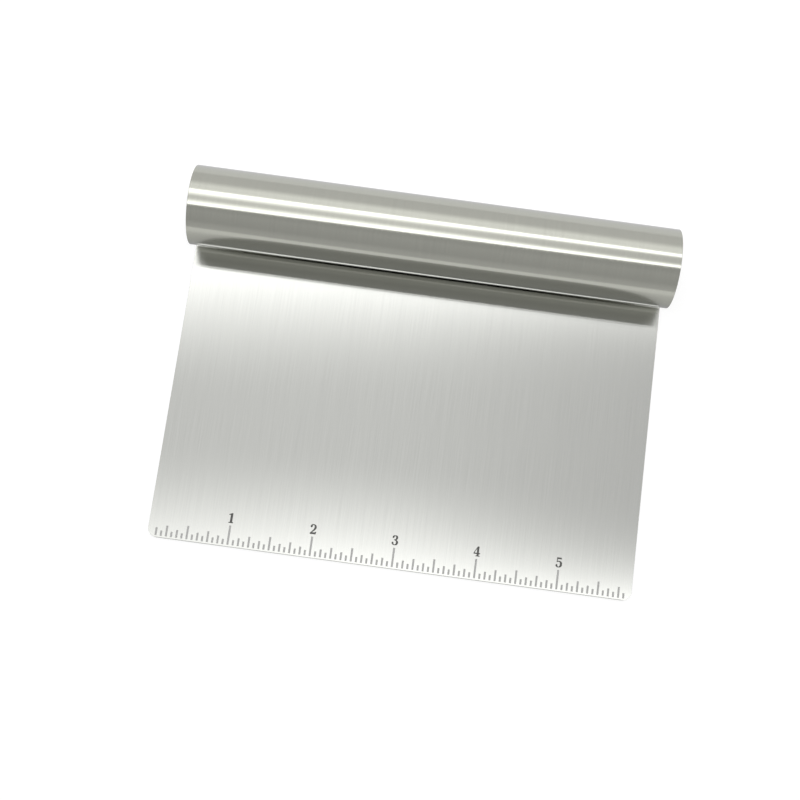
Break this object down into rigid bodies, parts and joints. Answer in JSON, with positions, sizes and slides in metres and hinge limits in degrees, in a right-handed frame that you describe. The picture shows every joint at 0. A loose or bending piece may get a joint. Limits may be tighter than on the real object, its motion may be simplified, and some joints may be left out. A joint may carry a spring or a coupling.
{
  "type": "dough scraper",
  "caption": "Flat stainless steel dough scraper: rectangular blade with round lower corners and an inch scale, and a handle rolled from sheet along its upper edge, open at both ends.",
  "frame": {"origin": "centre of the outline at the level of the blade's back face, on which the scraper lies", "axes": "+X along the handle towards the high end of the inch scale, +Y from the scraping edge to the handle, +Z out of the blade's front face"},
  "size_m": [0.1504, 0.1156, 0.0246],
  "materials": {
    "brushed_blade": "brushed from the scraping edge to the handle",
    "polished_roll": "fine satin polish round the roll",
    "ground_weld": "ground flush",
    "etched_scale": "etched matt black"
  },
  "bodies": {
    "root": {"blade": "brushed_blade", "weld_seam": "ground_weld", "rolled_handle": "polished_roll"}
  },
  "joints": []
}
